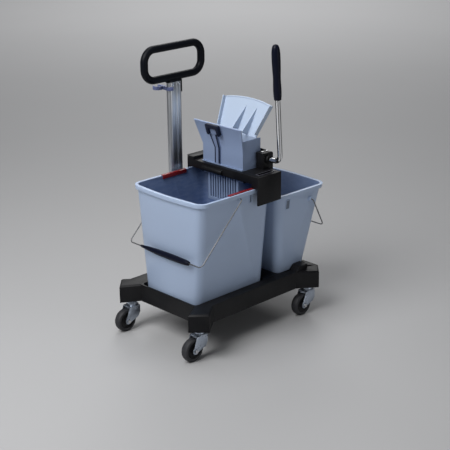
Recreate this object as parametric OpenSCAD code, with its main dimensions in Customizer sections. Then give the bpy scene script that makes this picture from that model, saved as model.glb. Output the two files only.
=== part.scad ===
// Double mop bucket trolley with a flat mop press.
// The trolley is drawn about the middle of its four casters: +X runs from the large bucket to the small
// one, +Y points to the handle post and the floor is z = 0. All pieces are then moved so that the origin
// lies under the middle of the whole object.

/* [Casters] */
// Spacing of the caster stems along the trolley
stem_dx = 504; // [490:1:520]
// Spacing of the caster stems across the trolley
stem_dy = 326; // [320:1:340]
// Diameter of the tyre
wheel_d = 76; // [70:1:80]
// Width of the tyre
tyre_w = 24; // [20:1:28]
// Diameter on which the tyre sits
hub_d = 54; // [46:1:58]
// Distance of the axle behind the stem
trail = 32; // [28:1:36]
// Diameter of the axle bolt
axle_d = 8; // [6:0.5:10]
// Diameter of the king pin
stem_d = 12; // [10:0.5:14]
// Thickness of the fork's sheet
fork_t = 3; // [2:0.5:4]
// Space between the tyre and the fork
wheel_gap = 3; // [2:0.5:4]
// Space between the top of the tyre and the fork's crown
crown_gap = 5; // [4:0.5:8]
// Height of the ball race under the base
race_h = 18.7; // [15:0.1:22]

/* [Base] */
// Height of the base from its lower edge to its deck
base_h = 59; // [55:1:65]
// Distance of the end wall under the large bucket from the middle
base_front = 241; // [241:1:246]
// Distance of the end wall under the small bucket from the middle
base_rear = 294; // [292:1:300]
// Distance of the wall on the lever's side from the middle
base_near = 165; // [162:1:170]
// Distance of the deck's edge on the post's side from the middle
base_far = 190; // [184:1:194]
// Thickness of the walls, floors and deck
base_t = 4; // [3:0.5:4]
// Distance of an ear's end face from its stem
ear_face = 37; // [35:1:40]
// Length of an ear's end face
ear_w = 66; // [60:1:70]
// Reach of an ear's root along the trolley, from its stem
ear_side = 62; // [50:1:70]
// Reach of an ear's root across the trolley, from its stem
ear_end = 36; // [30:1:44]
// Chamfer along the top of an ear
ear_top = 5; // [3:0.5:5]
// Depth of the bucket recesses
recess_d = 35; // [30:1:38]
// Space around a bucket in its recess
recess_gap = 2; // [1.5:0.1:2.5]
// Height of the two corner guards above the deck
guard_h = 16; // [10:1:20]
// Length of a corner guard
guard_len = 50; // [40:1:56]

/* [Large bucket] */
// Length of the large bucket over its rim
big_len = 336; // [330:1:337]
// Distance of the rim's inner end from the middle, towards the small bucket
big_end = 90; // [88:1:92]
// Height of the large bucket
big_h = 373; // [360:1:390]
// Draft of the end wall with the bail
big_draft_front = 5; // [3:0.5:8]
// Draft of the end wall next to the small bucket
big_draft_rear = 8; // [6:0.5:14]
// Draft of each side wall
big_draft_side = 33; // [30:0.5:36]
// Outward bow of the end wall with the bail
big_bow = 7; // [4:0.5:7]
// Height of the thicker band below the rim at the inner end
shoulder_h = 48; // [35:1:60]

/* [Small bucket] */
// Length of the small bucket over its rim
small_len = 244; // [236:1:246]
// Gap between the two rims
rim_apart = 14; // [12:0.5:18]
// Height of the small bucket
small_h = 318; // [300:1:325]
// Draft of the end wall next to the large bucket
small_draft_front = 33; // [30:0.5:36]
// Draft of the end wall with the bail
small_draft_rear = 66; // [62:0.5:70]
// Draft of each side wall
small_draft_side = 34; // [31:0.5:37]
// Outward bow of the end wall with the bail
small_bow = 6; // [3:0.5:8]

/* [Both buckets] */
// Width of both buckets over their rims
rim_w = 332; // [328:1:334]
// Thickness of a bucket's wall
bucket_t = 3.5; // [2.5:0.5:4]
// Height of the downturned rim
rim_h = 13; // [10:1:16]
// Width of the rim outside the wall
rim_out = 8; // [7:0.5:9]
// Radius of a bucket's corners at the wall
corner_r = 30; // [24:1:36]
// Diameter of the bail wire
wire_d = 4; // [3.5:0.5:4.5]
// Distance of the bail wire outside the rim
wire_out = 4; // [3.5:0.5:4.5]
// Diameter of a bail grip
grip_d = 20; // [16:1:22]
// Length of the large bail's grip
big_grip_len = 228; // [180:1:240]
// Length of the small bail's grip
small_grip_len = 150; // [100:1:220]
// Pivot of the large bail, ahead of the middle
big_pivot_x = -66; // [-75:1:-60]
// Pivot of the large bail below the rim
big_pivot_drop = 17; // [15:1:25]
// Drop of the large bail's grip below its pivot, as it hangs
big_bail_drop = 180; // [160:1:200]
// Pivot of the small bail behind the middle
small_pivot_x = 267; // [255:1:275]
// Pivot of the small bail below the rim
small_pivot_drop = 42; // [38:1:50]
// Drop of the small bail's grip below its pivot, as it hangs
small_bail_drop = 103; // [90:1:115]
// Length of a red rim insert
insert_len = 104; // [80:1:110]
// Thickness of a red rim insert
insert_t = 3; // [2:0.5:3.5]

/* [Handle] */
// Width of the post's profile along the trolley
post_w = 56; // [50:1:60]
// Thickness of the post's profile
post_t = 22; // [20:1:24]
// Place of the post along the trolley
post_x = -15; // [-30:1:-5]
// Wall of the post's profile
post_wall = 2.5; // [2:0.1:3]
// Length of the post
post_len = 682; // [640:1:720]
// Height of the post's socket above the deck
socket_h = 40; // [30:1:60]
// Diameter of the loop handle's tube
loop_d = 25; // [22:1:28]
// Width of the loop along its centre line
loop_w = 247; // [220:1:270]
// Height of the loop along its centre line
loop_h = 100; // [90:1:110]
// Radius of the loop's corners along its centre line
loop_r = 40; // [30:1:44]
// Diameter of the poles that the clip holds
pole_d = 25; // [22:0.5:28]
// Distance of the clip's middle from the post's face
clip_reach = 26; // [24:1:32]
// Height of the pole clip
clip_h = 12; // [10:1:20]

/* [Press] */
// Width of the bridge along the trolley
bridge_w = 105; // [104:0.5:106]
// Place of the bridge's front edge
bridge_x = -5; // [-6:0.5:-4]
// Distance of the bridge's ends outside the rim
bridge_out = 14; // [13:0.5:15]
// Height of the bridge above the rim
bridge_h = 40; // [36:1:44]
// Depth of the bridge's end skirts below the rim
skirt_d = 53; // [45:1:60]
// Thickness of the bridge's end skirts
skirt_t = 6; // [5:0.5:6]
// Half width of the funnel and the basket
funnel_half = 92; // [88:1:96]
// Half width of the basket's trough
trough_half = 70; // [64:1:78]
// Wall of the funnel, the basket and the jaw
press_t = 3.5; // [3:0.5:4]
// Gap between the bridge's front edge and the funnel's front wall
funnel_in = 20; // [18:0.5:22]
// Space between the front wall and the jaw, when open
mouth = 61.5; // [58:0.5:64]
// Height of the funnel's upright front wall above the bridge
front_h = 58; // [50:1:64]
// Height of the funnel's side walls above the bridge
side_h = 96; // [92:1:100]
// Forward lean of the front flap
front_lean = 16.5; // [12:0.5:20]
// Length of the front flap
front_len = 87; // [80:1:95]
// Half width of both flaps at their tops
flap_half = 108; // [104:1:112]
// Backward lean of the jaw's flap
jaw_lean = 29.5; // [24:0.5:32]
// Length of the jaw's flap at its sides
jaw_len = 109; // [100:1:115]
// Rise of the jaw's curved top edge
jaw_crown = 12; // [6:1:18]
// Depth of the basket below the rim
basket_d = 87; // [80:1:92]
// Width of a slot in the basket
slot_w = 6; // [5:0.5:7]
// Pitch of the slots in the basket
slot_pitch = 11.5; // [11:0.5:14]
// Diameter of the lever shaft
shaft_d = 12; // [10:0.5:13]
// Height of the lever shaft above the bridge
shaft_up = 31; // [29:0.5:33]
// Slide of the jaw over the lever's whole swing
jaw_travel = 26; // [22:0.5:27]
// Swing of the lever
lever_swing = 80; // [70:1:85]
// Diameter of a jaw guide pin
pin_d = 6; // [5:0.5:7]
// Distance of the lever rod inside the bridge's end
lever_in = -1; // [-3:0.5:-1]
// Diameter of the lever rod
rod_d = 16; // [14:0.5:16]
// Lean of the lever at rest
lever_lean = 3.7; // [0:0.1:6]
// Length of the lever from its shaft to its top
lever_len = 382; // [340:1:400]
// Length of the lever grip
lever_grip_len = 176; // [150:1:185]
// Diameter of the lever grip
lever_grip_d = 28; // [25:0.5:28]

/* [Fits] */
// Radial clearance of a pin or shaft that turns in its bore
turn_gap = 0.06; // [0.02:0.01:0.1]
// Gap between faces of pieces that move past each other
slide_gap = 0.5; // [0.3:0.1:0.7]
// Gap between pieces that are seated in one another
seat_gap = 0.1; // [0.05:0.05:0.2]

/* [Hidden] */
$fn = 64;
// Facets of the rounded corners that are blended into shells
blend_fn = 32;
// Overshoot of cuts
over = 1;

// Colours of the pieces
black_moulding = [0.10, 0.11, 0.12];
bucket_grey = [0.66, 0.70, 0.80];
clip_blue = [0.30, 0.36, 0.52];
insert_red = [0.62, 0.06, 0.07];
zinc = [0.72, 0.74, 0.76];
steel = [0.78, 0.79, 0.80];
rubber = [0.07, 0.07, 0.08];

// Heights, from the floor upwards
axle_z = wheel_d / 2;
crown_z = wheel_d + crown_gap;
skirt_z = crown_z + fork_t + seat_gap + race_h;
deck_z = skirt_z + base_h;
floor_z = deck_z - recess_d;
foot_z = floor_z + seat_gap;
big_rim_z = foot_z + big_h;
small_rim_z = foot_z + small_h;
bridge_z = big_rim_z + seat_gap;
bridge_top = bridge_z + bridge_h;
shaft_z = bridge_top + shaft_up;

// The casters stand at the corners, numbered around the base
stems = [for (sx = [-1, 1]) for (sy = [-1, 1]) [sx * stem_dx / 2, sy * stem_dy / 2]];
fork_half = tyre_w / 2 + wheel_gap + fork_t;
eye_r = axle_d / 2 + 7;
crown_back = trail * 0.75;

// Corners of an ear's end face, outwards from its stem
ear_far = (ear_face + ear_w / 2) / sqrt(2);
ear_near = (ear_face - ear_w / 2) / sqrt(2);

// A bucket is described by its wall's ends at the rim, the height of its rim, its three drafts and the
// bows of its two end walls
wall_half = rim_w / 2 - rim_out;
big = [big_end - big_len + rim_out + big_bow, big_end - rim_out, big_rim_z,
       big_draft_front, big_draft_rear, big_draft_side, big_bow, 0];
small_front = big_end + rim_apart;
small = [small_front + rim_out, small_front + small_len - rim_out - small_bow, small_rim_z,
         small_draft_front, small_draft_rear, small_draft_side, 0, small_bow];

// A bail's pin ends flush inside its bucket's wall
function pin_end(b, pivot) = wall_y(b, pivot[1]) - bucket_t + 0.5;

// Share of its draft by which a bucket's wall is drawn in at height z
function drawn_in(b, z) = (b[2] - z) / (b[2] - foot_z);
function wall_x0(b, z) = b[0] + b[3] * drawn_in(b, z);
function wall_x1(b, z) = b[1] - b[4] * drawn_in(b, z);
function wall_y(b, z) = wall_half - b[5] * drawn_in(b, z);

// Bails hang with their grips against the end walls
rest_gap = 0.6;
big_pivot = [big_pivot_x, big_rim_z - big_pivot_drop];
big_grip_z = big_pivot[1] - big_bail_drop;
big_grip_x = wall_x0(big, big_grip_z) - big_bow - grip_d / 2 - rest_gap;
small_pivot = [small_pivot_x, small_rim_z - small_pivot_drop];
small_grip_z = small_pivot[1] - small_bail_drop;
small_grip_x = wall_x1(small, small_grip_z) + small_bow + grip_d / 2 + rest_gap;
big_reach = norm([big_grip_x, big_grip_z] - big_pivot);
big_hang = atan2(big_pivot[1] - big_grip_z, big_grip_x - big_pivot[0]);
small_reach = norm([small_grip_x, small_grip_z] - small_pivot);
small_hang = atan2(small_pivot[1] - small_grip_z, small_grip_x - small_pivot[0]);
boss_r = wire_d / 2 + 6.5;
wire_bend = 7;
wire_y = rim_w / 2 + wire_out;
boss_y = wire_y - wire_bend;
wire_corner = 14;

// The press bridge spans the rim
bridge_half = rim_w / 2 + bridge_out;
lever_y = bridge_half - lever_in;

// Handle
post_y = bridge_half + 5 + post_t / 2;
post_z = skirt_z + 2 * base_t;
post_top = post_z + post_len;
socket_wall = 8;
loop_z = post_top + 4 + loop_d / 2;
clip_r = pole_d / 2;
clip_wall = 4.5;
clip_mouth = 38;
clip_x = post_x - post_w / 2 - 9;
clip_y = post_y + post_t / 2 + clip_reach;
clip_z = post_top - 14 - clip_h;
tab_len = 38;
screw_r = 2.5;
groove_w = 7;

// Press
front_x = bridge_x + funnel_in;
jaw_x = front_x + press_t + mouth;
jaw_back = jaw_x + press_t;
swing_rad = lever_swing * PI / 180;
cam_base = jaw_travel / swing_rad;
cam_near = shaft_d / 2 + 4;
shaft_x = jaw_back + slide_gap + cam_near;
jaw_half = funnel_half - press_t - 1;
groove_skin = 1.2;
flange_h = 3;
funnel_z = bridge_top + flange_h;
basket_z = big_rim_z - basket_d;
pin_boss = pin_d / 2 + 2.5;
box_back = jaw_x + 2 * pin_boss + 1;
front_kink = bridge_top + front_h;
kink_z = bridge_top + side_h + 2;
pin_x = jaw_x + pin_boss;
low_pin_z = bridge_z + 18;
trough_back = wall_x1(big, basket_z) - bucket_t - 2.5;
ledge_z = bridge_z + seat_gap;
jaw_foot = ledge_z + press_t + slide_gap;
high_pin_z = bridge_top + side_h - 20;
block_w = 46;
block_y0 = funnel_half + 4;
near_block_len = 32;
far_block_len = 24;
block_h = 53;
bush_r = shaft_d / 2 + 3;
cam_w = 8;
cam_y = 52;
stub_y = block_y0 + near_block_len + 1;
stub_len = 22;

// Return spring
spring_wire = 2.2;
spring_turns = 5;
spring_pitch = 3.4;
spring_leg = 15;
spring_r = shaft_d / 2 + spring_wire / 2 + 0.3;
spring_y = cam_y + cam_w / 2 + spring_wire / 2 + 0.3;
spring_rings = 12;
spring_sides = 6;

// The whole object's extents along and across the trolley
least_x = -stem_dx / 2 - trail - wheel_d / 2;
most_x = small_front + small_len;
least_y = -stem_dy / 2 - ear_far;
most_y = clip_y + (clip_r + clip_wall) * cos(clip_mouth);

module to_origin() {
    translate([-(least_x + most_x) / 2, -(least_y + most_y) / 2, 0])
        children();
}

// A round bar from the plane y = y0 to y = y1
module bar_y(x, z, y0, y1, r) {
    translate([x, y0, z])
        rotate([-90, 0, 0])
            cylinder(r = r, h = y1 - y0);
}

// A profile drawn in the plane of x and z, as thick as y0 to y1
module plate_y(y0, y1) {
    translate([0, y1, 0])
        rotate([90, 0, 0])
            linear_extrude(y1 - y0)
                children();
}

// A flat oval, as an exact outline
module oval(w, t) {
    square([w - t, t], center = true);
    for (s = [-1, 1])
        translate([s * (w - t) / 2, 0])
            circle(d = t);
}

// Casters

module at_caster(i) {
    translate([stems[i - 1][0], stems[i - 1][1], 0])
        children();
}

// King pins with their race cups, riveted below the fork's crown and held in the base
module caster_pins() {
    cup_r = 17;
    color(zinc)
        for (i = [1:4])
            at_caster(i)
                rotate_extrude()
                    polygon([[0, crown_z - 5], [9, crown_z - 5], [9, crown_z - seat_gap],
                             [stem_d / 2, crown_z - seat_gap], [stem_d / 2, crown_z + fork_t + seat_gap],
                             [cup_r, crown_z + fork_t + seat_gap], [cup_r, crown_z + fork_t + 5],
                             [cup_r - 4, skirt_z], [stem_d / 2, skirt_z],
                             [stem_d / 2, skirt_z + base_h - 14], [0, skirt_z + base_h - 12]]);
}

// Pressed fork: two legs that narrow to the axle eyes, and a crown around the king pin
module caster_fork(i) {
    crown_top = crown_z + fork_t;
    color(zinc)
        at_caster(i)
            difference() {
                union() {
                    for (y = [-fork_half, fork_half - fork_t])
                        plate_y(y, y + fork_t) {
                            polygon([[-trail - eye_r, axle_z], [-crown_back, crown_top],
                                     [fork_half, crown_top], [fork_half, axle_z + 20],
                                     [fork_half - 8, axle_z + 6],
                                     [-trail + eye_r * 0.8, axle_z - eye_r * 0.6]]);
                            translate([-trail, axle_z])
                                circle(r = eye_r);
                        }
                    translate([-crown_back, -fork_half, crown_z])
                        cube([crown_back, 2 * fork_half, fork_t]);
                    translate([0, 0, crown_z])
                        cylinder(r = fork_half, h = fork_t);
                }
                translate([0, 0, crown_z - over])
                    cylinder(r = stem_d / 2 + turn_gap, h = fork_t + 2 * over);
                bar_y(-trail, axle_z, -fork_half - over, fork_half + over, axle_d / 2 + turn_gap);
            }
}

// Axle bolt with its head and nut
module caster_axle(i) {
    head_h = 5;
    nut_h = 6;
    color(steel)
        at_caster(i) {
            bar_y(-trail, axle_z, -fork_half, fork_half + nut_h + 1, axle_d / 2);
            translate([-trail, -fork_half, axle_z])
                rotate([90, 0, 0])
                    cylinder(r = axle_d * 0.85, h = head_h, $fn = 6);
            translate([-trail, fork_half + nut_h, axle_z])
                rotate([90, 0, 0])
                    cylinder(r = axle_d * 0.85, h = nut_h, $fn = 6);
        }
}

// Wheel hub: boss, dished web with round holes, and a rim with shallow flanges
module wheel_hub(i) {
    boss_half = tyre_w / 2 + wheel_gap - slide_gap;
    rim_half = tyre_w / 2 - 2;
    hub_r = hub_d / 2 - seat_gap;
    color(black_moulding)
        at_caster(i)
            translate([-trail, 0, axle_z])
                rotate([90, 0, 0])
                    difference() {
                        rotate_extrude()
                            difference() {
                                union() {
                                    translate([0, -boss_half])
                                        square([axle_d / 2 + 6, 2 * boss_half]);
                                    translate([0, -3])
                                        square([hub_r, 6]);
                                    translate([hub_r - 5, -rim_half])
                                        square([5, 2 * rim_half]);
                                }
                                translate([-over, -boss_half - over])
                                    square([axle_d / 2 + turn_gap + over, 2 * boss_half + 2 * over]);
                            }
                        for (a = [0:60:300])
                            rotate(a)
                                translate([(axle_d / 2 + 6 + hub_r - 5) / 2, 0, -4])
                                    cylinder(r = 3.5, h = 8);
                    }
}

// Tyre with a crowned tread
module wheel_tyre(i) {
    crown = wheel_d * 0.7;
    color(rubber)
        at_caster(i)
            translate([-trail, 0, axle_z])
                rotate([90, 0, 0])
                    rotate_extrude()
                        intersection() {
                            translate([hub_d / 2, -tyre_w / 2])
                                square([(wheel_d - hub_d) / 2, tyre_w]);
                            translate([wheel_d / 2 - crown / 2, 0])
                                circle(d = crown);
                        }
}

// Base

// Plan of the base without its ears, drawn in by an inset
module box_plan(inset) {
    translate([-base_front + inset, -base_near + inset])
        square([base_front + base_rear - 2 * inset, base_near + base_far - 2 * inset]);
}

// Plan of the ear at stem s: an arm along the diagonal with a straight end face, drawn in by an inset
module ear_plan(s, inset) {
    root = 12;
    translate(s)
        scale([sign(s[0]), sign(s[1])])
            offset(delta = -inset)
                polygon([[ear_far, ear_near], [ear_near, ear_far], [-ear_side, 0], [-ear_side, -ear_end],
                         [-root, -ear_end]]);
}

// Ear at stem s with a chamfer along its top
module ear(s) {
    skin = 0.01;
    translate([0, 0, skirt_z])
        linear_extrude(base_h - ear_top)
            ear_plan(s, 0);
    hull() {
        translate([0, 0, deck_z - ear_top - skin])
            linear_extrude(skin)
                ear_plan(s, 0);
        translate([0, 0, deck_z - skin])
            linear_extrude(skin)
                ear_plan(s, ear_top);
    }
}

// Plan of a bucket's recess, widened by a margin
module recess_plan(b, margin) {
    x0 = wall_x0(b, deck_z) - b[6] - recess_gap - margin;
    x1 = wall_x1(b, deck_z) + b[7] + recess_gap + margin;
    y = wall_y(b, deck_z) + recess_gap + margin;
    r = corner_r / 2 + margin;
    translate([x0 + r, -y])
        square([x1 - x0 - 2 * r, 2 * y]);
    translate([x0, -y + r])
        square([x1 - x0, 2 * y - 2 * r]);
    for (cx = [x0 + r, x1 - r])
        for (cy = [-y + r, y - r])
            translate([cx, cy])
                circle(r = r);
}

module base_tray() {
    rib_x = [for (k = [1:5]) -base_front + k * (base_front + base_rear) / 6];
    guard_x = stem_dx / 2 - 4;
    web_y = min(base_far, post_y) - base_t / 2;
    color(black_moulding)
        difference() {
            union() {
                difference() {
                    union() {
                        translate([0, 0, skirt_z])
                            linear_extrude(base_h)
                                box_plan(0);
                        for (s = stems)
                            ear(s);
                    }
                    // Open underside, down to the skins of the recesses
                    translate([0, 0, skirt_z - over])
                        linear_extrude(base_h - base_t + over)
                            difference() {
                                union() {
                                    box_plan(base_t);
                                    for (s = stems)
                                        ear_plan(s, base_t);
                                }
                                recess_plan(big, base_t);
                                recess_plan(small, base_t);
                            }
                    translate([0, 0, skirt_z - over])
                        linear_extrude(floor_z - base_t - skirt_z + over) {
                            recess_plan(big, 0);
                            recess_plan(small, 0);
                        }
                }
                // Ribs under the floor
                for (x = rib_x)
                    translate([x - base_t / 2, -base_near + base_t / 2, skirt_z + 3])
                        cube([base_t, base_near + base_far - base_t, floor_z - skirt_z - 3 - base_t / 2]);
                translate([-base_front + base_t / 2, -base_t / 2, skirt_z + 3])
                    cube([base_front + base_rear - base_t, base_t, floor_z - skirt_z - 3 - base_t / 2]);
                // Caster sockets
                for (s = stems)
                    translate([s[0], s[1], skirt_z])
                        cylinder(r = stem_d / 2 + 9, h = base_h - base_t / 2);
                // Corner guards beside the small bucket, with a ramp towards the large one
                for (s = [0, 1])
                    mirror([0, s, 0])
                        plate_y(wall_y(small, deck_z) + recess_gap, base_near)
                            polygon([[guard_x - guard_len, deck_z - base_t], [guard_x - guard_len, deck_z],
                                     [guard_x - guard_len + guard_h, deck_z + guard_h],
                                     [guard_x, deck_z + guard_h], [guard_x, deck_z - base_t]]);
                // Socket of the handle post
                translate([post_x, post_y, skirt_z])
                    linear_extrude(base_h + socket_h)
                        oval(post_w + 2 * socket_wall, post_t + 2 * socket_wall);
                // Web that carries the socket on the far wall
                translate([post_x - (post_w - post_t) / 2, web_y, skirt_z + base_t])
                    cube([post_w - post_t, post_y - web_y, base_h - 2 * base_t]);
            }
            // Bucket recesses
            translate([0, 0, floor_z])
                linear_extrude(recess_d + guard_h + over) {
                    recess_plan(big, 0);
                    recess_plan(small, 0);
                }
            translate([post_x, post_y, post_z])
                linear_extrude(post_len)
                    oval(post_w + 2 * seat_gap, post_t + 2 * seat_gap);
            for (s = stems)
                translate([s[0], s[1], skirt_z - over])
                    cylinder(r = stem_d / 2 + seat_gap, h = base_h - 10);
        }
}

// Handle

// The two outer cells of the post's profile, drawn in by an inset
module post_cells(inset) {
    difference() {
        oval(post_w - 2 * (post_wall + inset), post_t - 2 * (post_wall + inset));
        square([groove_w + 2 * (post_wall + inset), post_t], center = true);
    }
}

// Extruded post: a flat oval with a middle cell and a groove on both faces
module handle_post() {
    groove_d = 1.2;
    color(steel)
        difference() {
            translate([post_x, post_y, post_z])
                linear_extrude(post_len)
                    difference() {
                        oval(post_w, post_t);
                        post_cells(0);
                        square([groove_w, post_t - 2 * (post_wall + groove_d)], center = true);
                        for (s = [-1, 1])
                            translate([0, s * post_t / 2])
                                square([groove_w, 2 * groove_d], center = true);
                    }
            screw_holes();
        }
}

// Places of the screws on the post's inner face
module at_screws() {
    for (x = [post_x - post_w / 4, post_x + post_w / 4])
        translate([x, post_y - post_t / 2, post_top - 7])
            children();
}

module screw_holes() {
    at_screws()
        bar_y(0, 0, -over, post_t / 2, screw_r + seat_gap);
}

// Neck: plugs in the post's cells, a cap, a saddle for the loop and a tab along one edge of the post
module handle_neck() {
    cap = 4;
    color(black_moulding)
        difference() {
            union() {
                translate([post_x, post_y, post_top])
                    linear_extrude(loop_z - post_top)
                        oval(post_w + 2 * cap, post_t);
                translate([post_x, post_y, post_top - tab_len])
                    linear_extrude(tab_len + cap)
                        post_cells(seat_gap);
                translate([post_x + post_w / 2 + seat_gap, post_y - post_t / 4, post_top - tab_len])
                    cube([cap, post_t / 2, tab_len + cap]);
            }
            translate([post_x, post_y, loop_z])
                rotate([0, 90, 0])
                    cylinder(r = loop_d / 2 + seat_gap, h = loop_w, center = true);
            screw_holes();
        }
}

// Closed loop of round tube
module handle_loop() {
    straight_x = loop_w - 2 * loop_r;
    straight_z = loop_h - 2 * loop_r;
    color(black_moulding)
        translate([post_x, post_y, loop_z + loop_h / 2])
            rotate([90, 0, 0]) {
                for (s = [-1, 1]) {
                    translate([0, s * loop_h / 2, 0])
                        rotate([0, 90, 0])
                            cylinder(d = loop_d, h = straight_x, center = true);
                    translate([s * loop_w / 2, 0, 0])
                        rotate([90, 0, 0])
                            cylinder(d = loop_d, h = straight_z, center = true);
                }
                for (q = [0:3])
                    translate([(q % 3 == 0 ? 1 : -1) * straight_x / 2, (q < 2 ? 1 : -1) * straight_z / 2, 0])
                        rotate(q * 90)
                            rotate_extrude(angle = 90)
                                translate([loop_r, 0])
                                    circle(d = loop_d);
            }
}

// Pole clip: a plate on the post's outer face, wrapped round one edge, and an open spring ring
module pole_clip() {
    plate = 4;
    ring_d = 2 * (clip_r + clip_wall);
    face_y = post_y + post_t / 2 + seat_gap;
    color(clip_blue)
        translate([0, 0, clip_z])
            difference() {
                union() {
                    translate([post_x, post_y, 0])
                        linear_extrude(clip_h)
                            difference() {
                                oval(post_w + 2 * (plate + seat_gap), post_t + 2 * (plate + seat_gap));
                                oval(post_w + 2 * seat_gap, post_t + 2 * seat_gap);
                                translate([post_w / 4, -post_t / 2 - plate])
                                    square([post_w, 2 * post_t + 2 * plate]);
                                translate([-post_w / 4, -post_t - plate])
                                    square([post_w, post_t + plate]);
                            }
                    translate([clip_x + 8, face_y, 0])
                        cube([12, clip_reach, clip_h]);
                    translate([clip_x, clip_y, 0])
                        cylinder(r = clip_r + clip_wall, h = clip_h);
                }
                translate([clip_x, clip_y, -over])
                    cylinder(r = clip_r, h = clip_h + 2 * over);
                translate([clip_x, clip_y, -over])
                    linear_extrude(clip_h + 2 * over)
                        polygon([[0, 0], [-ring_d * tan(clip_mouth), ring_d],
                                 [ring_d * tan(clip_mouth), ring_d]]);
            }
}

// Screws through the post's inner face into the neck
module neck_screws() {
    head_h = 2.5;
    color(steel)
        at_screws() {
            bar_y(0, 0, -head_h, 0, 1.5 * screw_r);
            bar_y(0, 0, 0, post_t / 2 - over, screw_r);
        }
}

// Buckets

// Corner and end posts of a bucket's plan at height z, drawn in by an inset
module bucket_slab(b, z, h, inset) {
    r = corner_r - inset;
    y_end = wall_y(b, z) - corner_r;
    for (t = [-1:0.25:1]) {
        translate([wall_x0(b, z) + corner_r - b[6] * (1 - t * t), t * y_end, z])
            cylinder(r = r, h = h, $fn = blend_fn);
        translate([wall_x1(b, z) - corner_r + b[7] * (1 - t * t), t * y_end, z])
            cylinder(r = r, h = h, $fn = blend_fn);
    }
}

// Tapered shell between two heights
module bucket_loft(b, z0, z1, inset) {
    skin = 0.01;
    hull() {
        bucket_slab(b, z0, skin, inset);
        bucket_slab(b, z1 - skin, skin, inset);
    }
}

// A bucket with its downturned rim, raised floor, foot ring and bail bosses; children add to its shell
module bucket(b, pivot) {
    lip_t = 2.5;
    floor_up = 7;
    foot_ring = 14;
    difference() {
        union() {
            bucket_loft(b, foot_z, b[2], 0);
            difference() {
                bucket_loft(b, b[2] - rim_h, b[2], -rim_out);
                bucket_loft(b, b[2] - rim_h - over, b[2] - lip_t, lip_t - rim_out);
            }
            for (s = [-1, 1])
                bar_y(pivot[0], pivot[1], s > 0 ? wall_half - big_draft_side : -boss_y,
                      s > 0 ? boss_y : big_draft_side - wall_half, boss_r);
            children();
        }
        bucket_loft(b, foot_z + floor_up, b[2] + over, bucket_t);
        bucket_loft(b, foot_z - over, foot_z + floor_up - bucket_t, foot_ring);
        bar_y(pivot[0], pivot[1], -boss_y - over, boss_y + over, wire_d / 2 + turn_gap);
    }
}

module large_bucket() {
    color(bucket_grey)
        bucket(big, big_pivot)
            // Thicker band below the rim at the inner end
            intersection() {
                bucket_loft(big, big_rim_z - shoulder_h, big_rim_z - over, -rim_out / 2);
                translate([big_end - corner_r, -rim_w, big_rim_z - shoulder_h - over])
                    cube([2 * corner_r, 2 * rim_w, shoulder_h + 2 * over]);
            }
}

module small_bucket() {
    color(bucket_grey)
        bucket(small, small_pivot);
}

// A wire bail in the plane of x and y, with its pivots on the y axis and its cross bar at x = reach.
// The wire is a little thinner in its bends.
module bail(reach, pin_end) {
    r = wire_d / 2;
    bend_r = r - 0.05;
    lap = 0.5;
    for (s = [0, 1])
        mirror([0, s, 0]) {
            bar_y(0, 0, pin_end, wire_y - wire_bend + lap, r);
            translate([wire_bend, wire_y - wire_bend, 0])
                rotate(90)
                    rotate_extrude(angle = 90)
                        translate([wire_bend, 0])
                            circle(r = bend_r);
            translate([wire_bend - lap, wire_y, 0])
                rotate([0, 90, 0])
                    cylinder(r = r, h = reach - wire_bend - wire_corner + 2 * lap);
            translate([reach - wire_corner, wire_y - wire_corner, 0])
                rotate_extrude(angle = 90)
                    translate([wire_corner, 0])
                        circle(r = bend_r);
        }
    bar_y(reach, 0, wire_corner - wire_y - lap, wire_y - wire_corner + lap, r);
}

// A sleeve grip on a bail's cross bar, with rolled ends
module bail_grip(reach, len) {
    end_r = grip_d / 2 - 1;
    translate([reach, 0, 0])
        rotate([90, 0, 0])
            rotate_extrude()
                difference() {
                    union() {
                        translate([0, -len / 2 + 6])
                            square([end_r, len - 12]);
                        for (s = [-1, 1])
                            translate([0, s * (len / 2 - 3) - 3])
                                square([grip_d / 2, 6]);
                    }
                    translate([-over, -len / 2 - over])
                        square([wire_d / 2 + seat_gap + over, len + 2 * over]);
                }
}

module hang_bail(pivot, angle) {
    translate([pivot[0], 0, pivot[1]])
        rotate([0, angle, 0])
            children();
}

module large_bail() {
    color(steel)
        hang_bail(big_pivot, big_hang)
            bail(big_reach, pin_end(big, big_pivot));
}

module large_bail_grip() {
    color(black_moulding)
        hang_bail(big_pivot, big_hang)
            bail_grip(big_reach, big_grip_len);
}

module small_bail() {
    color(steel)
        hang_bail(small_pivot, small_hang)
            bail(small_reach, pin_end(small, small_pivot));
}

module small_bail_grip() {
    color(black_moulding)
        hang_bail(small_pivot, small_hang)
            bail_grip(small_reach, small_grip_len);
}

// Red inserts hooked over the inner edge of the large bucket's rim
module rim_inserts() {
    x0 = bridge_x - 2 - insert_len;
    drop = 11;
    inner_y = wall_y(big, big_rim_z - drop) - bucket_t - seat_gap;
    color(insert_red)
        for (s = [0, 1])
            mirror([0, s, 0])
                translate([x0, 0, 0]) {
                    translate([0, inner_y - insert_t, big_rim_z + seat_gap - drop])
                        cube([insert_len, insert_t, drop + insert_t]);
                    translate([0, inner_y - insert_t, big_rim_z + seat_gap])
                        cube([insert_len, insert_t + bucket_t + rim_out / 2, insert_t]);
                }
}

// Press

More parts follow.
